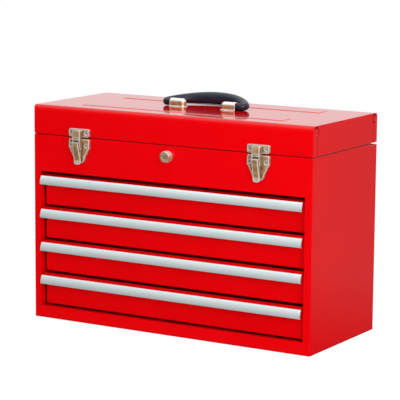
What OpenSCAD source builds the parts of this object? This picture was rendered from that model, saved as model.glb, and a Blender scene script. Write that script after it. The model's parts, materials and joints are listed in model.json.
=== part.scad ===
// Portable tool box with four drawers, a hinged lid, two draw latches, a key lock and a swing handle.
// Frame: origin at the middle of the case's bottom face, +X to the right, +Y to the back, +Z up.
// The front of the case is the plane y = -case_d / 2. Heights are measured from the bottom face.

/* [Case] */
// Outer width of the case and the lid
case_w = 510; // [480:5:560]
// Outer depth of the case and the lid
case_d = 217; // [205:1:240]
// Height of the case up to the lid seam
case_h = 302; // [298:1:330]
// Thickness of the sheet steel
sheet = 1.2; // [1.0:0.1:1.4]
// Outer bend radius of the upright corners
corner_r = 1.8; // [1.6:0.2:5]
// Height of the plain panel above the drawers
header_h = 59.5; // [58:0.5:66]
// Height of the sill below the drawers
sill_h = 19.5; // [17:0.5:24]
// Width of each front post beside the drawers
post_w = 12.3; // [11:0.1:14]

/* [Lid] */
// Height of the lid's top face above the ground
lid_top = 350; // [346:1:380]
// Open seam between case and lid
seam = 1.6; // [1.2:0.1:2.2]
// Outer radius of the lid's front and rear top edges
lid_roll_r = 8; // [5:0.5:12]
// Length of each raised rib on the lid
rib_l = 370; // [300:5:400]
// Width of each raised rib
rib_w = 30; // [20:1:34]
// Distance of each rib from the lid's centre line
rib_y = 60; // [56:1:66]
// Height of each raised rib
rib_h = 0.8; // [0.6:0.1:1.6]

/* [Drawers] */
// Recess of the drawer faces behind the front plane
face_recess = 12; // [11:0.5:14]
// Clear gap beside each drawer front
side_gap = 2.7; // [2:0.1:3.5]
// Clear gap between one drawer front and the next
drawer_gap = 3.6; // [3:0.1:5]
// Sheet thickness of the drawers
drawer_t = 1.0; // [0.8:0.1:1.2]
// Height of the drawer's tray walls
tray_h = 42; // [34:1:44]
// Travel of each drawer
travel = 150; // [100:5:150]

/* [Latches] */
// Distance of each latch from the middle of the case
latch_x = 164; // [150:1:180]
// Width of the latch plates
latch_w = 38; // [37:0.2:41]

/* [Lock] */
// Height of the lock's centre below the seam
lock_drop = 17; // [16:0.5:20]
// Outer diameter of the lock barrel
lock_d = 17.5; // [16:0.5:20]

/* [Handle] */
// Distance of each handle clip from the middle of the lid
clip_x = 47; // [44:1:52]
// Distance of the grip's centre line from the pivot axis
grip_reach = 47; // [40:0.5:50]
// Greatest radius of the moulded grip
grip_r = 10.2; // [8:0.2:10.4]
// Angle of the handle above the lid where it lies back
handle_rest = 6; // [6:0.5:20]

/* [Hidden] */
drawer_ids = [1, 2, 3, 4];

red = [0.84, 0.02, 0.06];
inner_red = [0.72, 0.03, 0.06];
zinc = [0.72, 0.73, 0.74];
nickel = [0.76, 0.71, 0.64];
aluminium = [0.80, 0.82, 0.84];
grip_black = [0.12, 0.13, 0.17];
$fn = 48;
eps = 0.01;

// Clearances
rivet_fit = 0.05;
pin_fit = 0.05;

// Case
front_y = -case_d / 2;
back_y = case_d / 2;
half_w = case_w / 2;
inner_w = case_w - 2 * sheet;
inner_d = case_d - 2 * sheet;
wrap_flange = 8;
open_half = half_w - post_w;
open_top = case_h - header_h;
frame_return = 12;
rear_gap_l = 22;
rear_edge_z = case_h - 2.2;
pan_flange = 12;
pan_corner_r = max(corner_r - sheet, 2.4);
till_z = open_top + 4;
till_flange = 5;
lip_t = 1.5;
lip_clear = 0.6;
lip_bottom = case_h - 5;
lip_joggle = case_h - 0.5;
lip_top = case_h + 5;

// Lid
lid_bottom = case_h + seam;

// Drawers, counted from the top; profile sizes are measured from the bottom edge of a drawer front
bottom_gap = 2.6;
top_gap = 4.8;
pitch = (open_top - sill_h - bottom_gap - top_gap + drawer_gap) / len(drawer_ids);
front_h = pitch - drawer_gap;
front_half = open_half - side_gap;
tray_half = front_half - 9;
tray_front = face_recess + drawer_t;
tray_back_y = back_y - 16.5;
tray_lift = 3;
rail_z = tray_lift + 17;
rail_l = min(travel + 26, case_d - 39);
function drawer_z(k) = sill_h + bottom_gap + pitch * (len(drawer_ids) - k);

// Hinge
hinge_y = back_y + 1.5;
hinge_z = case_h + seam / 2;
hinge_half = half_w - 20;
hinge_t = 1;
knuckle_r = 2.6;
hinge_pin_r = 1.25;
knuckles = 10;
knuckle_gap = 0.4;
hinge_rivet_xs = [-215, -130, -44, 44, 130, 215];
hinge_rivet_r = 1.5;
leaf_case_z = case_h - 26;
leaf_lid_z = case_h + 27;
hinge_rivet_case_z = case_h - 17;
hinge_rivet_lid_z = case_h + 18.5;
leaf_clear = 0.4;

// Latches: heights from the seam, and distances out of the front plane
latch_ids = [-1, 1];
plate_t = 1;
plate_out = 4.5;
dimple_r = 3;
lever_pivot = [8.6, case_h - 8.5];
claw_pivot = [8, case_h - 16.5];
latch_pin_r = 1.25;
latch_rivet_x = 14.3;
latch_rivet_r = 1.8;
base_rivet_z = case_h - 12;
keeper_rivet_z = case_h + 8.4;
hook_z = case_h + 10.6;
ear_in = 3;
ear_r = 2.4;
lever_in = 4.6;
claw_in = 5.8;
strap_t = 0.8;

// Lock
lock_z = case_h - lock_drop;
lock_thread_r = 7.5;
lock_bore_r = 5.05;
lock_plug_r = 5.0;
lock_front = 9.2;
lock_collar_r = 9.2;
lock_nut_r = 10.2;
lock_back = 13;
cam_t = 1.6;
cam_l = 20;
cam_w = 11;
striker_x = 12;
striker_w = 8;
striker_back = 17.2;

// Handle
clip_l = 27;
clip_wall = 1.0;
clip_flange_t = 0.9;
journal_r = 5.3;
journal_gap = 0.4;
clip_bore_r = journal_r + journal_gap;
clip_r = clip_bore_r + clip_wall;
handle_z = lid_top + clip_flange_t + journal_gap + journal_r;
clip_in = clip_x - clip_l / 2;
clip_out = clip_x + clip_l / 2;
core_r = 3;
core_gap_r = 3.3;
bend_r = 6;
bend_x = clip_out + 6;
arch_rise = grip_reach - 2 * bend_r;
arch_q = (bend_x * bend_x + arch_rise * arch_rise) / (2 * arch_rise);
arch_r = arch_q + bend_r;
arch_a = asin((arch_q - arch_rise) / arch_q);

// Points along an arc in a plane
function arc(c, r, a0, a1, n = 8) =
    [for (i = [0:n]) let (a = a0 + (a1 - a0) * i / n) [c[0] + r * cos(a), c[1] + r * sin(a)]];

// Extrudes a (y, z) outline along X
module along_x(x0, x1) {
    translate([x0, 0, 0]) rotate([90, 0, 90]) linear_extrude(x1 - x0) children();
}

// Extrudes an (x, z) outline along Y
module along_y(y0, y1) {
    translate([0, y1, 0]) rotate([90, 0, 0]) linear_extrude(y1 - y0) children();
}

// Extrudes an (outward, z) outline along X, where outward counts from the front plane
module off_front(x0, x1) {
    translate([x0, front_y, 0]) mirror([0, 1, 0]) rotate([90, 0, 90]) linear_extrude(x1 - x0) children();
}

// A plate or stub that stands on the front plane, between two outward distances
module on_front(out0, out1) {
    along_y(front_y - out1, front_y - out0) children();
}

// A cylinder along Y at an (x, z) place, between two outward distances
module boss(x, z, r, out0, out1) {
    translate([x, front_y - out0, z]) rotate([90, 0, 0]) cylinder(r = r, h = out1 - out0);
}

// A rectangle with rounded corners; the corner radius is never less than 0.2
module rounded_rect(w, d, radius) {
    r = max(radius, 0.2);
    square([w - 2 * r, d], center = true);
    square([w, d - 2 * r], center = true);
    for (sx = [-1, 1], sy = [-1, 1]) {
        translate([sx * (w / 2 - r), sy * (d / 2 - r)]) circle(r);
    }
}

module rounded_ring(w, d, r, t) {
    difference() {
        rounded_rect(w, d, r);
        rounded_rect(w - 2 * t, d - 2 * t, r - t);
    }
}

// A button-headed rivet along Y: the head at out1, the clinched tail at out0
module rivet_y(x, z, r, out0, out1, tail) {
    boss(x, z, r - rivet_fit, out0, out1);
    translate([x, front_y - out1, z]) rotate([90, 0, 0]) cylinder(r1 = r * 1.55, r2 = r * 0.9, h = 1.1);
    if (tail > 0) {
        boss(x, z, r * 1.3, out0 - tail, out0);
    }
}

// ---------------------------------------------------------------- case

module case_wrap() {
    color(red) difference() {
        linear_extrude(case_h) difference() {
            rounded_ring(case_w, case_d, corner_r, sheet);
            translate([-half_w + wrap_flange, front_y - 1]) square([case_w - 2 * wrap_flange, 2 + sheet]);
        }
        translate([-half_w - 1, back_y - rear_gap_l, rear_edge_z]) cube([case_w + 2, rear_gap_l + 1, 10]);
        for (x = hinge_rivet_xs) {
            translate([x, back_y - 2, hinge_rivet_case_z]) rotate([-90, 0, 0])
                cylinder(r = hinge_rivet_r, h = 4);
        }
    }
}

module front_frame() {
    color(red) difference() {
        union() {
            on_front(-sheet, 0) difference() {
                translate([-half_w + wrap_flange, 0]) square([case_w - 2 * wrap_flange, case_h]);
                translate([-open_half, sill_h]) square([2 * open_half, open_top - sill_h]);
            }
            on_front(-frame_return, 0) difference() {
                translate([-open_half - sheet, sill_h - sheet])
                    square([2 * (open_half + sheet), open_top - sill_h + 2 * sheet]);
                translate([-open_half, sill_h]) square([2 * open_half, open_top - sill_h]);
            }
        }
        boss(0, lock_z, lock_thread_r + rivet_fit, -5, 5);
        for (s = latch_ids, t = latch_ids) {
            boss(s * latch_x + t * latch_rivet_x, base_rivet_z, latch_rivet_r, -5, 5);
        }
    }
}

// Floor of the case, with its rim turned up
module bottom_pan() {
    color(inner_red) {
        linear_extrude(sheet) rounded_rect(inner_w, inner_d, pan_corner_r);
        linear_extrude(sheet + pan_flange) rounded_ring(inner_w, inner_d, pan_corner_r, sheet);
    }
}

// Floor of the top compartment: a sheet whose two side edges are turned down against the case walls
module till_floor() {
    flange_l = inner_d - 12;
    color(inner_red) {
        translate([0, 0, till_z]) linear_extrude(sheet) rounded_rect(inner_w, inner_d, pan_corner_r);
        for (t = [0, 1]) mirror([t, 0, 0]) {
            translate([inner_w / 2 - sheet, -flange_l / 2, till_z - till_flange])
                cube([sheet, flange_l, till_flange + sheet]);
        }
    }
}

module rim_lip() {
    color(inner_red) difference() {
        union() {
            translate([0, 0, lip_bottom]) linear_extrude(lip_joggle - lip_bottom)
                rounded_ring(inner_w, inner_d, corner_r - sheet, lip_t);
            translate([0, 0, lip_bottom]) linear_extrude(lip_top - lip_bottom)
                rounded_ring(inner_w - 2 * lip_clear, inner_d - 2 * lip_clear, corner_r - sheet - lip_clear,
                    lip_t - lip_clear);
        }
        translate([-half_w, back_y - rear_gap_l, lip_bottom - 1]) cube([case_w, rear_gap_l, 20]);
    }
}

// ---------------------------------------------------------------- drawer slides

// Lipped channel fixed to the case wall; the drawer's rail runs inside it
module runner(k) {
    zc = drawer_z(k) + rail_z;
    wall = half_w - sheet;
    inner = wall - 15.8;
    h = 11;
    lip_h = 2;
    color(zinc) along_y(front_y + 21, back_y - 4.5) translate([0, zc]) difference() {
        translate([inner, -h]) square([wall - inner, 2 * h]);
        translate([inner + sheet, -h + sheet]) square([wall - inner - 2 * sheet, 2 * h - 2 * sheet]);
        translate([inner - 1, -h + sheet + lip_h]) square([3, 2 * h - 2 * sheet - 2 * lip_h]);
    }
}

// Hat-shaped rail on one side of a drawer: its web lies on the tray and its shoe runs in the channel
module rail(k) {
    zc = drawer_z(k) + rail_z;
    shoe_x = half_w - sheet - 13.2;
    arm_h = 5.6;
    shoe_h = 9.4;
    y0 = front_y + 22;
    along_y(y0, y0 + rail_l) translate([0, zc]) {
        translate([tray_half, -arm_h]) square([drawer_t, 2 * arm_h]);
        for (z = [-arm_h, arm_h - drawer_t]) {
            translate([tray_half, z]) square([shoe_x - tray_half, drawer_t]);
        }
        translate([shoe_x - drawer_t, -shoe_h]) square([drawer_t, shoe_h - arm_h + drawer_t]);
        translate([shoe_x - drawer_t, arm_h - drawer_t]) square([drawer_t, shoe_h - arm_h + drawer_t]);
    }
}

// ---------------------------------------------------------------- drawers

// The folded sheet of a drawer front: face, rolled top and the hooked finger pull.
// (out, up): out is the distance ahead of the face's outer surface, up from the front's lower edge.
roll_r = 4;
hook_top = [face_recess + 1.2, front_h - 2.9];
hook_tip = [face_recess + 5.0, front_h - 15.4];
hook_a = atan2(hook_tip[1] - hook_top[1], hook_tip[0] - hook_top[0]);
crown = [roll_r, front_h - roll_r];
shelf_a = atan2(hook_top[1] - front_h, hook_top[0] - crown[0]);

function shifted(p, a, d) = [p[0] + d * cos(a), p[1] + d * sin(a)];

module front_outline() {
    polygon(concat(
        [[-drawer_t, 0], [0, 0]],
        [[0, crown[1] - 2]],
        arc([crown[0] - drawer_t, crown[1]], roll_r - drawer_t, 180, 90 + shelf_a, 6),
        [shifted(hook_top, shelf_a - 90, drawer_t) - [drawer_t * 0.9, 0]],
        [shifted(hook_tip, hook_a - 90, drawer_t)],
        [hook_tip, hook_top],
        arc([crown[0] - drawer_t, crown[1]], roll_r, 90 + shelf_a, 180, 6)
    ));
}

module drawer_front(k) {
    z0 = drawer_z(k);
    color(red) translate([0, 0, z0]) {
        translate([0, face_recess, 0]) off_front(-front_half, front_half) front_outline();
        for (s = [0, 1]) mirror([s, 0, 0]) {
            translate([front_half - drawer_t, front_y + tray_front, 0]) cube([drawer_t, 7, front_h - 8]);
        }
        translate([-front_half, front_y + tray_front, 0]) cube([2 * front_half, 7, drawer_t]);
    }
}

// Bright extruded strip that covers the front of the hook: its face is bowed and its lower edge is curled under
module drawer_pull(k) {
    edge_t = 0.8;
    bow = 1.2;
    n = hook_a + 90;
    foot = shifted(hook_tip, hook_a, 1.2);
    curl = shifted(hook_tip, hook_a - 90, 2.4);
    ends = [shifted(hook_top, n, edge_t), shifted(foot, n, edge_t)];
    chord = norm(ends[1] - ends[0]);
    bow_r = (chord * chord / 4 + bow * bow) / (2 * bow);
    color(aluminium) translate([0, face_recess, drawer_z(k)]) off_front(-front_half, front_half) {
        polygon([hook_top, hook_tip, curl, shifted(curl, hook_a, 1.2), ends[1], ends[0]]);
        intersection() {
            translate(shifted((ends[0] + ends[1]) / 2, n, bow - bow_r)) circle(bow_r, $fn = 180);
            polygon([
                shifted(ends[0], n, -0.2), shifted(ends[1], n, -0.2), shifted(ends[1], n, 3), shifted(ends[0], n, 3)
            ]);
        }
    }
}

module drawer_tray(k) {
    z0 = drawer_z(k) + tray_lift;
    y0 = front_y + tray_front;
    l = tray_back_y - y0;
    color(inner_red) translate([-tray_half, y0, z0]) difference() {
        cube([2 * tray_half, l, tray_h]);
        translate([drawer_t, drawer_t, drawer_t])
            cube([2 * tray_half - 2 * drawer_t, l - 2 * drawer_t, tray_h]);
    }
}

module drawer_rails(k) {
    color(zinc) {
        rail(k);
        mirror([1, 0, 0]) rail(k);
    }
}

// ---------------------------------------------------------------- lid

module lid_outline(shrink) {
    r = lid_roll_r - shrink;
    top = lid_top - shrink;
    edge = back_y - shrink;
    bottom = lid_bottom - (shrink > 0 ? 1 : 0);
    translate([-edge, bottom]) square([2 * edge, top - r - bottom]);
    translate([-edge + r, bottom]) square([2 * edge - 2 * r, top - bottom]);
    for (s = [-1, 1]) {
        translate([s * (edge - r), top - r]) circle(r);
    }
}

// Raised rib on the lid, with sloping sides
module rib(y) {
    slope = 3;
    intersection() {
        along_x(-rib_l / 2, rib_l / 2) translate([y, lid_top]) polygon([
            [-rib_w / 2, -eps], [rib_w / 2, -eps], [rib_w / 2 - slope, rib_h], [-rib_w / 2 + slope, rib_h]
        ]);
        along_y(y - rib_w, y + rib_w) translate([0, lid_top]) polygon([
            [-rib_l / 2, -eps], [rib_l / 2, -eps], [rib_l / 2 - slope, rib_h], [-rib_l / 2 + slope, rib_h]
        ]);
    }
}

// Corner tab of the lid: a groove down its edge, and a crescent cut right through the sheet above it
module corner_relief() {
    line_y = back_y - 15;
    line_w = 0.9;
    groove = 0.8;
    r = 7.2;
    arc_w = 2.2;
    cy = back_y - 11.2;
    cz = lid_top - 8.6;
    along_x(half_w - groove, half_w + 1) {
        translate([line_y, lid_bottom - 1]) square([line_w, cz - r * 0.8 - lid_bottom + 1]);
    }
    along_x(half_w - 2 * sheet, half_w + 1) difference() {
        translate([cy, cz]) circle(r);
        translate([cy, cz]) circle(r - arc_w);
        translate([cy + 0.6, cz - r - 1]) square([r + 1, 1.5 * r + 1]);
    }
}

module lid_shell() {
    color(red) difference() {
        union() {
            intersection() {
                along_x(-half_w, half_w) lid_outline(0);
                linear_extrude(lid_top + 1) rounded_rect(case_w, case_d, corner_r);
            }
            rib(-rib_y);
            rib(rib_y);
        }
        intersection() {
            along_x(-half_w + sheet, half_w - sheet) lid_outline(sheet);
            linear_extrude(lid_top) rounded_rect(inner_w, inner_d, corner_r - sheet);
        }
        for (s = [-1, 1]) {
            translate([0, 0, -sheet]) rib(s * rib_y);
            for (t = [0, 1]) mirror([t, 0, 0]) {
                if (s > 0) corner_relief();
                else mirror([0, 1, 0]) corner_relief();
            }
        }
        translate([-hinge_half - 1.5, back_y - 2, lid_bottom - 1])
            cube([2 * hinge_half + 3, 3, hinge_z + knuckle_r + 1 - lid_bottom + 1]);
        for (x = hinge_rivet_xs) {
            translate([x, back_y - 2, hinge_rivet_lid_z]) rotate([-90, 0, 0])
                cylinder(r = hinge_rivet_r, h = 4);
        }
        for (s = latch_ids, t = latch_ids) {
            boss(s * latch_x + t * latch_rivet_x, keeper_rivet_z, latch_rivet_r, -5, 5);
        }
        for (s = [-1, 1], t = [-1, 1]) {
            translate([s * clip_x, t * 8.2, lid_top]) cube([8.4, 1.6, 6], center = true);
        }
    }
}

// ---------------------------------------------------------------- hinge

seg = 2 * hinge_half / knuckles;

// Leaf of the piano hinge. first is 0 or 1: which of the alternating knuckles belong to it.
module hinge_leaf(first, z_far, rivet_z) {
    up = z_far > hinge_z ? 1 : -1;
    near = hinge_z + up * (knuckle_r + leaf_clear);
    plate_y = back_y;
    difference() {
        union() {
            translate([-hinge_half, plate_y, min(near, z_far)])
                cube([2 * hinge_half, hinge_t, abs(z_far - near)]);
            for (i = [first:2:knuckles - 1]) {
                x0 = -hinge_half + i * seg + knuckle_gap / 2;
                translate([x0, hinge_y, hinge_z]) rotate([0, 90, 0])
                    cylinder(r = knuckle_r, h = seg - knuckle_gap);
                translate([x0, plate_y, min(near, hinge_z)])
                    cube([seg - knuckle_gap, hinge_t, abs(near - hinge_z)]);
            }
        }
        translate([-hinge_half - 1, hinge_y, hinge_z]) rotate([0, 90, 0])
            cylinder(r = hinge_pin_r + pin_fit, h = 2 * hinge_half + 2);
        for (x = hinge_rivet_xs) {
            translate([x, back_y - 2, rivet_z]) rotate([-90, 0, 0]) cylinder(r = hinge_rivet_r, h = 6);
        }
    }
}

module hinge_leaf_case() {
    color(zinc) hinge_leaf(0, leaf_case_z, hinge_rivet_case_z);
}

module hinge_leaf_lid() {
    color(zinc) hinge_leaf(1, leaf_lid_z, hinge_rivet_lid_z);
}

module hinge_pin() {
    color(zinc) translate([-hinge_half, hinge_y, hinge_z]) rotate([0, 90, 0])
        cylinder(r = hinge_pin_r, h = 2 * hinge_half);
}

// Row of rivets through a leaf and the sheet in front of it
module hinge_rivets(z) {
    color(zinc) for (x = hinge_rivet_xs) {
        translate([x, back_y - sheet, z]) rotate([-90, 0, 0]) {
            cylinder(r = hinge_rivet_r - rivet_fit, h = sheet + hinge_t);
            translate([0, 0, -0.8]) cylinder(r = hinge_rivet_r + 0.8, h = 0.8);
            translate([0, 0, sheet + hinge_t]) cylinder(r1 = hinge_rivet_r + 1, r2 = hinge_rivet_r, h = 0.9);
        }
    }
}

module hinge_rivets_case() {
    hinge_rivets(hinge_rivet_case_z);
}

module hinge_rivets_lid() {
    hinge_rivets(hinge_rivet_lid_z);
}

// ---------------------------------------------------------------- latches

// A stamping on the front plane. Its face stands forward and its rim is turned back, and each rivet sits in a
// dimple. The first child is its outline, and the second is the outline of the hollow behind the face.
module dished(rivet_z) {
    difference() {
        union() {
            difference() {
                on_front(0, plate_out) children(0);
                on_front(-1, plate_out - plate_t) children(1);
            }
            for (t = latch_ids) {
                boss(t * latch_rivet_x, rivet_z, dimple_r + plate_t, 0, plate_out);
            }
        }
        for (t = latch_ids) {
            boss(t * latch_rivet_x, rivet_z, dimple_r, plate_t, plate_out + 1);
            boss(t * latch_rivet_x, rivet_z, latch_rivet_r, -1, plate_t + 1);
        }
    }
}

// Shield shape of the base plate, drawn in by i on every side
module base_outline(i) {
    half = latch_w / 2 - i;
    top = case_h - 1.4 - i;
    knee = case_h - 15.5;
    foot_z = case_h - 30.6;
    foot_r = 10.2 - i;
    r = 3 - i;
    translate([-half, knee]) square([2 * half, top - r - knee]);
    translate([-half + r, knee]) square([2 * half - 2 * r, top - knee]);
    for (t = latch_ids) {
        translate([t * (half - r), top - r]) circle(r);
    }
    polygon([
        [-half, knee + eps], [half, knee + eps], [half - 3.8, knee - 5.5], [half - 5.7, knee - 10.5],
        [foot_r, foot_z], [-foot_r, foot_z], [5.7 - half, knee - 10.5], [3.8 - half, knee - 5.5]
    ]);
    translate([0, foot_z]) circle(foot_r + 0.1);
}

module latch_base(s) {
    color(nickel) translate([s * latch_x, 0, 0]) {
        dished(base_rivet_z) {
            base_outline(0);
            base_outline(plate_t);
        }
        for (t = [0, 1]) mirror([t, 0, 0]) off_front(ear_in, ear_in + 1) difference() {
            union() {
                translate([plate_out - eps, lever_pivot[1] - ear_r])
                    square([lever_pivot[0] - plate_out + eps, 2 * ear_r]);
                translate(lever_pivot) circle(ear_r);
            }
            translate(lever_pivot) circle(latch_pin_r);
        }
    }
}

// Lever: a channel that leans back towards the case, its cheeks carrying both pivots, with a flared tip
module latch_lever(s) {
    brow = 16.6;
    top = case_h - 5.8;
    heel = case_h - 34.5;
    neck = heel - 1.6;
    tip = case_h - 41.6;
    tip_half = 6.1;
    tip_r = 4;
    cheek = lever_in + strap_t;
    color(nickel) translate([s * latch_x, 0, 0]) {
        for (t = [0, 1]) mirror([t, 0, 0]) off_front(lever_in, cheek) difference() {
            union() {
                translate(lever_pivot) circle(2.9);
                polygon([
                    [brow - 0.3, top], [9.2, heel], [6.4, heel], [6.6, case_h - 25], [5.4, case_h - 19],
                    [5.4, case_h - 14], lever_pivot - [2.8, 0.4], [lever_pivot[0], top]
                ]);
            }
            translate(lever_pivot) circle(latch_pin_r + pin_fit);
            translate(claw_pivot) circle(latch_pin_r);
        }
        off_front(-cheek, cheek) translate([lever_pivot[0] + 3.1, top - 1])
            square([brow - lever_pivot[0] - 3.5, 1]);
        intersection() {
            off_front(-tip_half - 1, tip_half + 1) polygon([
                [brow, top], [9.5, heel], [8.8, neck], [10.4, tip],
                [9.4, tip], [7.8, neck], [8.5, heel], [brow - 1, top]
            ]);
            on_front(0, brow + 1) {
                translate([-cheek, heel]) square([2 * cheek, top - heel]);
                translate([-tip_half, tip + tip_r]) square([2 * tip_half, heel - tip - tip_r + 0.5]);
                translate([-tip_half + tip_r, tip]) square([2 * tip_half - 2 * tip_r, tip_r + 1]);
                for (t = latch_ids) {
                    translate([t * (tip_half - tip_r), tip + tip_r]) circle(tip_r);
                }
            }
        }
    }
}

// Claw: a deep stirrup that runs from the lever up in front of the keeper, its top edge turned in.
// Its face is a panel with a slot and a cross bar below, and a hook on its back points at the keeper's slot.
module latch_claw(s) {
    face = 12.8;
    rear = claw_pivot[0] - 2.8;
    hook_out = plate_out + 0.4;
    top = case_h + 14.3;
    side = claw_in + strap_t;
    r = 2.5;
    color(nickel) translate([s * latch_x, 0, 0]) intersection() {
        difference() {
            union() {
                for (t = [0, 1]) mirror([t, 0, 0]) off_front(claw_in, side) {
                    translate(claw_pivot) circle(2.8);
                    polygon([
                        [rear, claw_pivot[1]], claw_pivot + [2.8, 0],
                        [face, case_h - 9], [face, top], [rear, top]
                    ]);
                }
                off_front(-side, side) {
                    translate([face - 1, case_h + 0.6]) square([1, top - case_h - 0.6]);
                    translate([face - 1, case_h - 2.6]) square([1, 1.3]);
                    translate([face - 3, top - 1]) square([3, 1]);
                }
                off_front(-4.6, 4.6) translate([hook_out, hook_z]) square([face - hook_out - 0.5, 1]);
            }
            for (t = [0, 1]) mirror([t, 0, 0]) off_front(claw_in - 1, side + 1)
                translate(claw_pivot) circle(latch_pin_r + pin_fit);
        }
        on_front(-1, face + 1) {
            translate([-side, case_h - 20]) square([2 * side, top - r - case_h + 20]);
            translate([-side + r, case_h - 20]) square([2 * side - 2 * r, top - case_h + 20]);
            for (t = latch_ids) {
                translate([t * (side - r), top - r]) circle(r);
            }
        }
    }
}

module latch_claw_pin(s) {
    color(zinc) translate([s * latch_x, 0, 0]) {
        off_front(-claw_in - strap_t - 0.2, claw_in + strap_t + 0.2) translate(claw_pivot) circle(latch_pin_r);
        for (t = [0, 1]) mirror([t, 0, 0]) off_front(claw_in + strap_t + 0.2, claw_in + strap_t + 0.9)
            translate(claw_pivot) circle(2);
    }
}

module latch_lever_pins() {
    color(zinc) for (s = latch_ids) translate([s * latch_x, 0, 0])
        off_front(-lever_in - strap_t, lever_in + strap_t) translate(lever_pivot) circle(latch_pin_r);
}

module latch_base_rivets() {
    color(nickel) for (s = latch_ids, t = latch_ids) {
        rivet_y(s * latch_x + t * latch_rivet_x, base_rivet_z, latch_rivet_r, -sheet, plate_t, 0.9);
    }
}

// Keeper on the lid: the claw's hook drops into the slot in its face
module latch_keeper(s) {
    low = lid_bottom + 0.4;
    h = case_h + 14.8 - low;
    color(nickel) translate([s * latch_x, 0, 0]) difference() {
        dished(keeper_rivet_z) {
            translate([0, low + h / 2]) rounded_rect(latch_w, h, 3);
            translate([0, low + h / 2]) rounded_rect(latch_w - 2 * plate_t, h - 2 * plate_t, 3 - plate_t);
        }
        on_front(plate_t, plate_out + 1) translate([-5.2, hook_z - 0.8]) square([10.4, 2.6]);
    }
}

module latch_keeper_rivets() {
    color(nickel) for (s = latch_ids, t = latch_ids) {
        rivet_y(s * latch_x + t * latch_rivet_x, keeper_rivet_z, latch_rivet_r, -sheet, plate_t, 0);
    }
}

// ---------------------------------------------------------------- lock

module lock_barrel() {
    color(nickel) difference() {
        union() {
            boss(0, lock_z, lock_d / 2, 1.2, lock_front - 0.8);
            translate([0, front_y - lock_front + 0.8, lock_z]) rotate([90, 0, 0])
                cylinder(r1 = lock_d / 2, r2 = lock_d / 2 - 0.8, h = 0.8);
            boss(0, lock_z, lock_collar_r, 0, 1.2);
            boss(0, lock_z, lock_thread_r, -lock_back + 0.5, 0);
        }
        boss(0, lock_z, lock_bore_r, -lock_back - 1, lock_front + 1);
    }
}

module lock_nut() {
    color(zinc) along_y(front_y + sheet, front_y + sheet + 3) translate([0, lock_z]) difference() {
        circle(r = lock_nut_r, $fn = 6);
        circle(lock_thread_r + rivet_fit);
    }
}

module lock_plug() {
    color(nickel) difference() {
        boss(0, lock_z, lock_plug_r, -lock_back, lock_front - 0.3);
        on_front(lock_front - 6, lock_front + 1) translate([0, lock_z]) {
            translate([-0.7, -3.2]) square([1.4, 6.4]);
            translate([-1.3, -0.4]) square([2.6, 1.4]);
        }
        boss(0, lock_z, 1.6, -lock_back - 1, -lock_back + 7);
    }
}

// Cam of the lock; it points up when the lid is free
module lock_cam() {
    color(zinc) on_front(-lock_back - cam_t, -lock_back) difference() {
        union() {
            translate([0, lock_z]) circle(7);
            translate([-cam_w / 2, lock_z]) square([cam_w, cam_l - cam_w / 2]);
            translate([0, lock_z + cam_l - cam_w / 2]) circle(cam_w / 2);
        }
        translate([0, lock_z]) circle(2.05);
    }
}

module lock_cam_screw() {
    color(zinc) {
        boss(0, lock_z, 1.6 - rivet_fit, -lock_back - cam_t, -lock_back + 6);
        difference() {
            boss(0, lock_z, 3.2, -lock_back - cam_t - 1.8, -lock_back - cam_t);
            translate([0, front_y + lock_back + cam_t + 1.8, lock_z]) cube([5, 1.6, 0.8], center = true);
        }
    }
}

// Bracket on the lid: it reaches down behind the cam, and its foot lies under the cam when locked
module lock_striker() {
    wall_z = lip_top + 4;
    foot_z = lock_z - cam_w / 2 - 0.6 - sheet;
    color(zinc) off_front(striker_x, striker_x + striker_w) {
        translate([-2 * sheet, wall_z]) square([sheet, 16]);
        translate([-striker_back, wall_z]) square([striker_back - sheet, sheet]);
        translate([-striker_back, foot_z]) square([sheet, wall_z - foot_z + sheet]);
        translate([-striker_back, foot_z]) square([striker_back - lock_back + 0.6, sheet]);
    }
}

// ---------------------------------------------------------------- handle

// Half round clip outline swept along X from in to out, with a round closed inner end
module clip_body(r, low, x_in, x_out) {
    translate([x_in + r, 0, handle_z]) rotate([0, 90, 0]) cylinder(r = r, h = x_out - x_in - r);
    translate([x_in + r, 0, handle_z]) sphere(r);
    translate([x_in + r, 0, low]) cylinder(r = r, h = handle_z - low);
    translate([x_in + r, -r, low]) cube([x_out - x_in - r, 2 * r, handle_z - low]);
}

module handle_clip(s) {
    flange = 2;
    tab_w = 8;
    tab_in = 7.7;
    fold_z = lid_top - sheet;
    r = clip_r + flange;
    color(nickel) mirror([s < 0 ? 1 : 0, 0, 0]) difference() {
        union() {
            clip_body(clip_r, lid_top, clip_in, clip_out);
            translate([clip_in + clip_r, 0, lid_top]) cylinder(r = r, h = clip_flange_t);
            translate([clip_in + clip_r, -r, lid_top]) cube([clip_l - clip_r, 2 * r, clip_flange_t]);
            for (t = [0, 1]) mirror([0, t, 0]) {
                translate([clip_x - tab_w / 2, tab_in, fold_z - sheet]) cube([tab_w, 1.1, 2 * sheet + eps]);
                translate([clip_x - tab_w / 2, tab_in, fold_z - sheet]) cube([tab_w, 6, sheet]);
            }
        }
        clip_body(clip_bore_r, lid_top - 3 * sheet, clip_in + clip_wall, clip_out + 5);
    }
}

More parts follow.
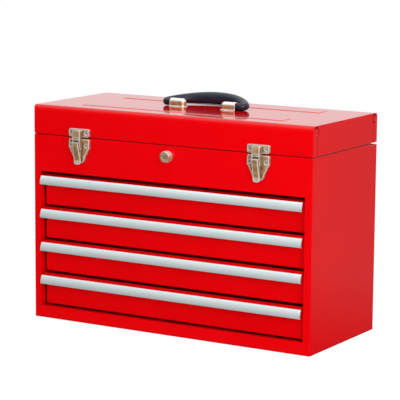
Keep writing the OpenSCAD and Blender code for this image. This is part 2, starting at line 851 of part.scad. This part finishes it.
// Centre line of the handle in its own plane: [x, reach, angle of the outward normal]
function bend_at(a) = [bend_x + bend_r * cos(a), bend_r + bend_r * sin(a), a];
function arch_at(a) = [arch_r * cos(a), grip_reach - arch_r + arch_r * sin(a), a];
function flip(p) = [-p[0], p[1], 180 - p[2]];
journal_in = clip_in + clip_wall + clip_bore_r - 0.4;
journal_line = [for (x = [journal_in, clip_x + 3, clip_out - 1, clip_out + 0.4]) [x, 0, -90]];
bend_line = [for (i = [0:10]) bend_at(-90 + (arch_a + 90) * i / 10)];
arch_line = [for (i = [1:10]) arch_at(arch_a + (90 - arch_a) * i / 11)];
half_line = concat(journal_line, bend_line, arch_line);
centre_line = concat(half_line, [arch_at(90)], [for (i = [len(half_line) - 1:-1:0]) flip(half_line[i])]);

// Radius of the moulding: slim in the clips, fullest in the middle
function swell(p) = pow(max(0, cos(90 * p[0] / (bend_x + bend_r))), 0.9);
bend_tube_r = journal_r + 0.7;
function growth(p) = swell(p) * min(1, p[1] / bend_r / 2);
function grip_radius(p) =
    abs(p[0]) < clip_out + 0.5 && p[1] < 1 ? journal_r : bend_tube_r + (grip_r - bend_tube_r) * growth(p);

// How far the moulding stands outward of the rod, which is most at the shoulders
function lean(p) = 0.5 * min(1, p[1] / bend_r) * (1 - growth(p));

function ring(p, ra, rb, shift, n) = [for (j = [0:n - 1])
    let (t = 360 * j / n, d = shift + ra * cos(t))
        [p[0] + d * cos(p[2]), p[1] + d * sin(p[2]), rb * sin(t)]];

module grip_tube() {
    n = 16;
    m = len(centre_line);
    outer = [for (p = centre_line) each ring(p, grip_radius(p) * 0.96, grip_radius(p), lean(p), n)];
    bore = [for (p = centre_line) each ring(p, core_gap_r, core_gap_r, 0, n)];
    o = m * n;
    sides = [for (i = [0:m - 2], j = [0:n - 1]) let (k = (j + 1) % n) each [
        [i * n + j, i * n + k, (i + 1) * n + k],
        [i * n + j, (i + 1) * n + k, (i + 1) * n + j],
        [o + i * n + j, o + (i + 1) * n + k, o + i * n + k],
        [o + i * n + j, o + (i + 1) * n + j, o + (i + 1) * n + k]
    ]];
    ends = [for (j = [0:n - 1]) let (k = (j + 1) % n, e = (m - 1) * n) each [
        [j, o + k, k],
        [j, o + j, o + k],
        [e + j, e + k, o + e + k],
        [e + j, o + e + k, o + e + j]
    ]];
    polyhedron(points = concat(outer, bore), faces = concat(sides, ends), convexity = 6);
}

module in_handle_plane() {
    translate([0, 0, handle_z]) rotate([handle_rest, 0, 0]) children();
}

module handle_grip() {
    color(grip_black) in_handle_plane() grip_tube();
}

// Steel rod bent to the handle's centre line, with a crimp ring where each bend meets the arch
module handle_core() {
    color(zinc) in_handle_plane() {
        for (p = [bend_at(arch_a), flip(bend_at(arch_a))]) {
            translate([p[0], p[1], 0]) rotate([90, 0, p[2]]) cylinder(r = core_r + 0.1, h = 1.2, center = true);
        }
        translate([0, grip_reach - arch_r, 0]) rotate([0, 0, arch_a])
            rotate_extrude(angle = 180 - 2 * arch_a) translate([arch_r, 0]) circle(core_r);
        for (t = [0, 1]) mirror([t, 0, 0]) {
            translate([bend_x, bend_r, 0]) rotate([0, 0, -90])
                rotate_extrude(angle = 90 + arch_a) translate([bend_r, 0]) circle(core_r);
            translate([clip_in + 4.5, 0, 0]) rotate([0, 90, 0]) cylinder(r = core_r, h = bend_x - clip_in - 4.5);
        }
    }
}

// ---------------------------------------------------------------- nodes

case_wrap();
front_frame();
bottom_pan();
till_floor();
rim_lip();
for (k = drawer_ids) {
    runner(k);
    mirror([1, 0, 0]) runner(k);
    drawer_tray(k);
    drawer_front(k);
    drawer_pull(k);
    drawer_rails(k);
}
hinge_leaf_case();
hinge_leaf_lid();
hinge_pin();
hinge_rivets_case();
hinge_rivets_lid();
latch_base(-1);  // latch_base_left
latch_base(1);  // latch_base_right
latch_base_rivets();
latch_lever_pins();
latch_lever(-1);  // latch_lever_left
latch_lever(1);  // latch_lever_right
latch_claw_pin(-1);  // latch_claw_pin_left
latch_claw_pin(1);  // latch_claw_pin_right
latch_claw(-1);  // latch_claw_left
latch_claw(1);  // latch_claw_right
latch_keeper(-1);  // latch_keeper_left
latch_keeper(1);  // latch_keeper_right
latch_keeper_rivets();
lock_barrel();
lock_nut();
lock_plug();
lock_cam();
lock_cam_screw();
lock_striker();
lid_shell();
handle_clip(-1);  // handle_clip_left
handle_clip(1);  // handle_clip_right
handle_core();
handle_grip();
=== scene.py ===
"""Portable tool box with drawers: the camera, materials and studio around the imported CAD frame.

Every visible piece is a node of the frame. Lengths are in metres.
"""
import json
import math

import bmesh
import bpy
from mathutils import Matrix, Vector

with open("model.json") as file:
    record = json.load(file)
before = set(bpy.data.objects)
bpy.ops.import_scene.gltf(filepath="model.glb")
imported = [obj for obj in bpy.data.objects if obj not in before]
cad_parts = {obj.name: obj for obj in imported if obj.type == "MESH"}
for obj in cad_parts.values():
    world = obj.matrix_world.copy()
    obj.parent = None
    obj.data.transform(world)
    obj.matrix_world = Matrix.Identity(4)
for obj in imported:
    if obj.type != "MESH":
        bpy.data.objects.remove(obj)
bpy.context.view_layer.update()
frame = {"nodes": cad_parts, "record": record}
NODES = frame["nodes"]


# ---------------------------------------------------------------- camera

# Found from the straight edges of the case; angles in degrees, lens and sensor in millimetres
CAMERA_AZIMUTH = 31.0755
CAMERA_ELEVATION = 9.4705
CAMERA_ROLL = 0.4329
CAMERA_PLACE = (1.57001, -2.61443, 0.71015)
CAMERA_LENS = 172.93
CAMERA_SENSOR = 36
CAMERA_CLIP_END = 50


def make_camera():
    az, el, roll = (math.radians(a) for a in (CAMERA_AZIMUTH, CAMERA_ELEVATION, CAMERA_ROLL))
    level_right = Vector((math.cos(az), math.sin(az), 0))
    level_up = Vector((-math.sin(az) * math.sin(el), math.cos(az) * math.sin(el), math.cos(el)))
    back = Vector((math.sin(az) * math.cos(el), -math.cos(az) * math.cos(el), math.sin(el)))
    right = level_right * math.cos(roll) + level_up * math.sin(roll)
    up = level_up * math.cos(roll) - level_right * math.sin(roll)
    data = bpy.data.cameras.new("camera")
    data.lens = CAMERA_LENS
    data.sensor_width = CAMERA_SENSOR
    data.clip_end = CAMERA_CLIP_END
    camera = bpy.data.objects.new("camera", data)
    bpy.context.scene.collection.objects.link(camera)
    turn = Matrix((right, up, back)).transposed().to_4x4()
    camera.matrix_world = Matrix.Translation(CAMERA_PLACE) @ turn
    bpy.context.scene.camera = camera


make_camera()
bpy.context.scene.view_settings.view_transform = "Standard"


# ---------------------------------------------------------------- node helpers

# A Mix node has a pair of inputs and a result for each kind of value it can mix
MIX_SOCKETS = {"FLOAT": (2, 3, 0), "RGBA": (6, 7, 2)}

# Rays that a rounded normal or a search for cracks takes at each point
SHADER_SAMPLES = 6


class Nodes:
    """Makes nodes in a tree and joins them. Its values are plain ones or outputs of other nodes."""

    def __init__(self, tree):
        self.tree = tree
        tree.nodes.clear()
        self.coords = self.node("ShaderNodeTexCoord")

    def node(self, kind, **settings):
        made = self.tree.nodes.new(kind)
        for key, value in settings.items():
            setattr(made, key, value)
        return made

    def feed(self, node, socket, value):
        if isinstance(value, bpy.types.NodeSocket):
            self.tree.links.new(value, node.inputs[socket])
        else:
            node.inputs[socket].default_value = value

    def ramp(self, value, low, high, lo_value=0, hi_value=1, **settings):
        """Maps a number from low..high to lo_value..hi_value, clamped."""
        made = self.node("ShaderNodeMapRange", **settings)
        limits = {"From Min": low, "From Max": high, "To Min": lo_value, "To Max": hi_value}
        for socket, limit in limits.items():
            self.feed(made, socket, limit)
        self.feed(made, "Value", value)
        return made.outputs["Result"]

    def mix(self, factor, low, high, kind="RGBA"):
        """Mixes two colours, or two numbers where kind is FLOAT."""
        made = self.node("ShaderNodeMix", data_type=kind)
        low_socket, high_socket, result = MIX_SOCKETS[kind]
        self.feed(made, 0, factor)
        for socket, value in ((low_socket, low), (high_socket, high)):
            self.feed(made, socket, (*value, 1) if isinstance(value, tuple) else value)
        return made.outputs[result]

    def math(self, operation, first, second):
        made = self.node("ShaderNodeMath", operation=operation)
        self.feed(made, 0, first)
        self.feed(made, 1, second)
        return made.outputs[0]

    def split(self, vector):
        """The X, Y and Z outputs of a vector."""
        made = self.node("ShaderNodeSeparateXYZ")
        self.feed(made, 0, vector)
        return made.outputs


class Shader(Nodes):
    """A new material with one Principled shader on its output."""

    def __init__(self, name):
        self.material = bpy.data.materials.new(name)
        self.material.use_nodes = True
        super().__init__(self.material.node_tree)
        self.out = self.node("ShaderNodeOutputMaterial")
        self.bsdf = self.node("ShaderNodeBsdfPrincipled")
        self.feed(self.out, "Surface", self.bsdf.outputs["BSDF"])

    def surface(self, socket, value):
        """Feeds an input of the Principled shader."""
        self.feed(self.bsdf, socket, value)

    def noise(self, scale, detail, rough=0.5, stretch=(1, 1, 1)):
        mapping = self.node("ShaderNodeMapping")
        self.feed(mapping, "Vector", self.coords.outputs["Object"])
        self.feed(mapping, "Scale", stretch)
        made = self.node("ShaderNodeTexNoise")
        self.feed(made, "Vector", mapping.outputs["Vector"])
        self.feed(made, "Scale", scale)
        self.feed(made, "Detail", detail)
        self.feed(made, "Roughness", rough)
        return made.outputs["Fac"]

    def rounded(self, radius):
        """A normal that turns softly over sharp folds, as a bent or tumbled edge looks."""
        made = self.node("ShaderNodeBevel", samples=SHADER_SAMPLES)
        self.feed(made, "Radius", radius)
        return made.outputs["Normal"]

    def open_sky(self, reach):
        """1 in the open, and less in a crack that is narrower than reach."""
        made = self.node("ShaderNodeAmbientOcclusion", samples=SHADER_SAMPLES)
        self.feed(made, "Distance", reach)
        return made.outputs["AO"]

    def bump(self, height, distance, strength, below):
        """Raises the normal below by a height."""
        made = self.node("ShaderNodeBump")
        self.feed(made, "Distance", distance)
        self.feed(made, "Strength", strength)
        self.feed(made, "Height", height)
        self.feed(made, "Normal", below)
        return made.outputs["Normal"]


def shaded(colour, share):
    return tuple(c * share for c in colour)


# ---------------------------------------------------------------- materials

RED = (0.79, 0.0005, 0.0028)
RED_DEEP = (0.75, 0.0004, 0.0024)
# Near-black red painted into cracks as shade
RED_CRACK_SHADE = (0.05, 0.0005, 0.001)
RED_INSIDE = (0.66, 0.002, 0.006)
RED_INSIDE_DEEP = (0.58, 0.002, 0.005)
ZINC = (0.66, 0.67, 0.68)
DRAWN_STEEL = (0.55, 0.55, 0.56)
NICKEL_THIN = (0.42, 0.23, 0.09)
NICKEL_FULL = (0.74, 0.47, 0.24)
# Near-black brown painted into creases as shade
NICKEL_CRACK_SHADE = (0.045, 0.022, 0.010)
# Pale cream painted on faces turned up as a reflection of the ceiling
NICKEL_TOP_REFLECTION = (0.88, 0.84, 0.78)
# Cream painted along the folds as a highlight
NICKEL_EDGE_HIGHLIGHT = (0.94, 0.92, 0.86)
ALUMINIUM = (0.88, 0.99, 1.0)
BLACK = (0.011, 0.014, 0.026)

ENAMEL_IOR = 1.38
DUST_DULLING = 0.05
PLASTIC_IOR = 1.42

# Radii over which folds and facets are rounded
ENAMEL_FOLD = 0.0006
ZINC_FOLD = 0.001
NICKEL_FOLD = 0.0015
ALUMINIUM_FOLD = 0.0006
GRIP_FOLD = 0.003

# Widths of the cracks that are painted darker as shade
ENAMEL_CRACK = 0.009
INSIDE_CRACK = 0.006
NICKEL_CRACK = 0.008

# Heights of the bumps
ORANGE_PEEL = 0.00004
SHEET_WAVE = 0.0006
ROLLING_GRAIN = 0.00003
DRAW_LINES = 0.00004
LEATHER_GRAIN = 0.00004


def enamel(name, colour, deep, rough, crack):
    """Glossy stoved enamel over sheet steel: orange peel, faint cloudiness and dust, and painted
    shade that darkens it in cracks. rough is how rough the enamel is where no dust lies, and deep
    its colour where it is thickest."""
    s = Shader(name)
    cloud = s.ramp(s.noise(scale=9, detail=2), 0.3, 0.7)
    # Painted shade: the enamel is darkened towards a near-black red in cracks narrower than the
    # crack width.
    unshaded = s.ramp(s.open_sky(crack), 0.25, 0.6)
    s.surface("Base Color", s.mix(unshaded, RED_CRACK_SHADE, s.mix(cloud, colour, deep)))
    dust = s.noise(scale=60, detail=5, rough=0.6)
    s.surface("Roughness", s.ramp(dust, 0.35, 0.75, rough, rough + DUST_DULLING))
    fold = s.rounded(ENAMEL_FOLD)
    wave = s.bump(s.noise(scale=30, detail=2), SHEET_WAVE, strength=0.05, below=fold)
    peel = s.bump(s.noise(scale=420, detail=2), ORANGE_PEEL, strength=0.12, below=wave)
    s.surface("Normal", peel)
    s.surface("IOR", ENAMEL_IOR)
    return s.material


def scuffed(s, stretch, low, high, fold):
    """Gives bright metal fine scuffs over the normal fold, and a roughness from low to high."""
    scuff = s.noise(scale=900, detail=4, rough=0.65, stretch=stretch)
    s.surface("Roughness", s.ramp(scuff, 0.3, 0.7, low, high))
    s.surface("Normal", s.bump(scuff, ROLLING_GRAIN, strength=0.35, below=fold))


def plated(name, colour, rough, stretch=(1, 1, 1)):
    """Bright steel with fine rolling grain, small scuffs and uneven shine."""
    s = Shader(name)
    s.surface("Metallic", 1.0)
    blotch = s.ramp(s.noise(scale=140, detail=4, rough=0.6), 0.35, 0.7)
    s.surface("Base Color", s.mix(blotch, colour, shaded(colour, 0.86)))
    scuffed(s, stretch, rough * 0.7, rough * 1.5, s.rounded(ZINC_FOLD))
    return s.material


def nickel(name, highlight_reach):
    """Warm nickel plating on pressed steel: brown where the plating is thin, with painted
    highlights in cream along the folds, a painted reflection that makes faces turned up pale, and
    painted shade in the creases. Its second argument is how far from a fold the painted highlight
    reaches."""
    s = Shader(name)
    fold = s.rounded(NICKEL_FOLD)
    # Painted highlight: a cream colour, with less metal, along the folds stands for the bright
    # edges.
    turned = s.node("ShaderNodeVectorMath", operation="DOT_PRODUCT")
    s.feed(turned, 0, s.rounded(highlight_reach))
    s.feed(turned, 1, s.node("ShaderNodeNewGeometry").outputs["True Normal"])
    edge = s.ramp(turned.outputs["Value"], 0.995, 0.92)
    blotch = s.ramp(s.noise(scale=160, detail=4, rough=0.6), 0.35, 0.65)
    plating = s.mix(blotch, NICKEL_THIN, NICKEL_FULL)
    # Painted shade: creases narrower than the crack width are darkened to near black.
    unshaded = s.ramp(s.open_sky(NICKEL_CRACK), 0.3, 0.8)
    worn = s.mix(unshaded, NICKEL_CRACK_SHADE, plating)
    # Painted reflection: faces turned up are painted pale cream, as if they mirrored the bright
    # ceiling.
    top_reflected = s.mix(s.ramp(s.split(fold)["Z"], 0.10, 0.45), worn, NICKEL_TOP_REFLECTION)
    s.surface("Base Color", s.mix(edge, top_reflected, NICKEL_EDGE_HIGHLIGHT))
    s.surface("Metallic", s.ramp(edge, 0, 1, 0.5, 0.15))
    scuffed(s, (1, 1, 1), 0.16, 0.32, fold)
    return s.material


def anodised(name, colour):
    """Satin anodised extrusion with fine draw lines along it, and painted shade where it turns
    down.
    """
    s = Shader(name)
    s.surface("Metallic", 0.4)
    line = s.noise(scale=1, detail=3, rough=0.6, stretch=(6, 2200, 2200))
    fold = s.rounded(ALUMINIUM_FOLD)
    drawn_tone = s.mix(s.ramp(line, 0.3, 0.7), colour, shaded(colour, 0.93))
    # Painted shade: faces turned down are painted darker.
    upward = s.ramp(s.split(fold)["Z"], -0.05, 0.5)
    s.surface("Base Color", s.mix(upward, shaded(colour, 0.62), drawn_tone))
    s.surface("Roughness", s.ramp(line, 0.3, 0.7, 0.34, 0.44))
    s.surface("Normal", s.bump(line, DRAW_LINES, strength=0.3, below=fold))
    return s.material


def moulded(name, colour):
    """Moulded plastic: a soft sheen over a fine leathery grain."""
    s = Shader(name)
    cells = s.node("ShaderNodeTexVoronoi")
    s.feed(cells, "Vector", s.coords.outputs["Object"])
    s.feed(cells, "Scale", 900)
    mottle = s.noise(scale=70, detail=4, rough=0.6)
    s.surface("Base Color", s.mix(s.ramp(mottle, 0.3, 0.7), colour, shaded(colour, 1.35)))
    s.surface("Roughness", s.ramp(mottle, 0.3, 0.7, 0.30, 0.42))
    fold = s.rounded(GRIP_FOLD)
    s.surface("Normal", s.bump(cells.outputs["Distance"], LEATHER_GRAIN, strength=0.25, below=fold))
    s.surface("IOR", PLASTIC_IOR)
    return s.material


MATERIALS = {
    "red_paint": enamel("red_enamel", RED, RED_DEEP, rough=0.05, crack=ENAMEL_CRACK),
    "red_paint_inside": enamel(
        "red_enamel_inside", RED_INSIDE, RED_INSIDE_DEEP, rough=0.14, crack=INSIDE_CRACK
    ),
    "zinc_plate": plated("zinc_plating", ZINC, rough=0.30),
    "nickel_plate": nickel("nickel_plating", highlight_reach=0.0024),
    "aluminium_trim": anodised("anodised_aluminium", ALUMINIUM),
    "black_plastic": moulded("black_moulding", BLACK),
    "steel_rod": plated("drawn_rod", DRAWN_STEEL, rough=0.35, stretch=(1, 20, 20)),
}
TURNED_NICKEL = nickel("nickel_plating_turned", highlight_reach=0.0007)
TURNED_NODES = ("lock_barrel", "lock_plug")


def dress_nodes():
    slots = {part["node"]: part["material_slot"] for part in frame["record"]["subparts"]}
    for name, obj in NODES.items():
        obj.data.materials.clear()
        material = TURNED_NICKEL if name in TURNED_NODES else MATERIALS[slots[name]]
        obj.data.materials.append(material)


dress_nodes()


# ---------------------------------------------------------------- studio

# Half the width of the floor, its grey, and how much of it the camera sees as white
FLOOR_REACH = 12
FLOOR_GREY = (0.86, 0.86, 0.86, 1)
FLOOR_WHITE = 0.99

# How bright shiny surfaces see the floor in front of the object and behind it, and where that
# change begins and ends along Y
FLOOR_FRONT_SHINE = 0.012
FLOOR_BACK_SHINE = 0.30
FLOOR_CHANGE = (-0.2, 0.45)

# Strengths of the world: for diffuse light, and as shiny surfaces see it behind the object, in
# front of it and overhead
ROOM_LIGHT = 0.38
SWEEP_BACK = 1.05
SWEEP_FRONT = 0.12
OVERHEAD = 1.5

# Where the sweep and the ceiling begin and end, along Y and Z of the direction looked in
SWEEP_CHANGE = (-0.35, 0.45)
CEILING_CHANGE = (0.45, 0.9)

# Soft boxes: name, place, target, size, watts and whether gloss shows them
LIGHTS = (
    ("key", (1.75, -1.75, 0.95), (0.05, 0, 0.18), (1.6, 1.2), 38, True),
    ("fill", (-0.7, -2.9, 0.9), (0.05, 0, 0.2), (1.8, 1.3), 10, False),
    ("overhead", (0.1, -0.5, 2.2), (0, 0, 0.3), (1.6, 1.2), 13, False),
)


def make_floor():
    """Pale paper. The camera sees it white but for the shadow, and shiny surfaces see it dim in
    front of the object."""
    mesh = bpy.data.meshes.new("floor")
    bm = bmesh.new()
    bmesh.ops.create_grid(bm, x_segments=1, y_segments=1, size=FLOOR_REACH)
    bm.to_mesh(mesh)
    bm.free()
    floor = bpy.data.objects.new("floor", mesh)
    bpy.context.scene.collection.objects.link(floor)
    s = Shader("floor_paper")
    s.surface("Base Color", FLOOR_GREY)
    s.surface("Roughness", 1.0)
    s.surface("Specular IOR Level", 0.0)
    path = s.node("ShaderNodeLightPath").outputs
    seen = s.math("MAXIMUM", path["Is Camera Ray"], path["Is Transmission Ray"])
    glowing = s.math("MAXIMUM", s.math("MULTIPLY", seen, FLOOR_WHITE), path["Is Glossy Ray"])
    depth = s.split(s.coords.outputs["Object"])["Y"]
    shine = s.ramp(depth, *FLOOR_CHANGE, FLOOR_FRONT_SHINE, FLOOR_BACK_SHINE)
    glow = s.node("ShaderNodeEmission")
    s.feed(glow, "Strength", s.mix(path["Is Glossy Ray"], 1.0, shine, "FLOAT"))
    mixer = s.node("ShaderNodeMixShader")
    s.feed(mixer, 0, glowing)
    s.feed(mixer, 1, s.bsdf.outputs["BSDF"])
    s.feed(mixer, 2, glow.outputs["Emission"])
    s.feed(s.out, "Surface", mixer.outputs["Shader"])
    mesh.materials.append(s.material)


def make_world():
    """White to the camera, an even room to the diffuse light, and to shiny surfaces a bright sweep
    behind the object, a bright ceiling and a dim room in front."""
    world = bpy.data.worlds.new("studio")
    bpy.context.scene.world = world
    world.use_nodes = True
    w = Nodes(world.node_tree)
    toward = w.split(w.coords.outputs["Generated"])
    smooth = {"interpolation_type": "SMOOTHSTEP"}
    sweep = w.ramp(toward["Y"], *SWEEP_CHANGE, SWEEP_FRONT, SWEEP_BACK, **smooth)
    ceiling = w.ramp(toward["Z"], *CEILING_CHANGE, **smooth)
    mirrored = w.mix(ceiling, sweep, OVERHEAD, "FLOAT")
    path = w.node("ShaderNodeLightPath").outputs
    unseen = w.mix(path["Is Glossy Ray"], ROOM_LIGHT, mirrored, "FLOAT")
    seen = w.math("MAXIMUM", path["Is Camera Ray"], path["Is Transmission Ray"])
    back = w.node("ShaderNodeBackground")
    w.feed(back, "Color", (1, 1, 1, 1))
    w.feed(back, "Strength", w.mix(seen, unseen, 1.0, "FLOAT"))
    out = w.node("ShaderNodeOutputWorld")
    w.feed(out, "Surface", back.outputs["Background"])


def make_light(name, place, target, size, power, mirrored):
    """A soft box. Where mirrored is off, it lights the object but isn't seen in its gloss."""
    data = bpy.data.lights.new(name, "AREA")
    data.shape = "RECTANGLE"
    data.size, data.size_y = size
    data.energy = power
    lamp = bpy.data.objects.new(name, data)
    bpy.context.scene.collection.objects.link(lamp)
    lamp.visible_glossy = mirrored
    lamp.location = place
    lamp.rotation_euler = (Vector(target) - Vector(place)).to_track_quat("-Z", "Y").to_euler()


make_floor()
make_world()
for light in LIGHTS:
    make_light(*light)
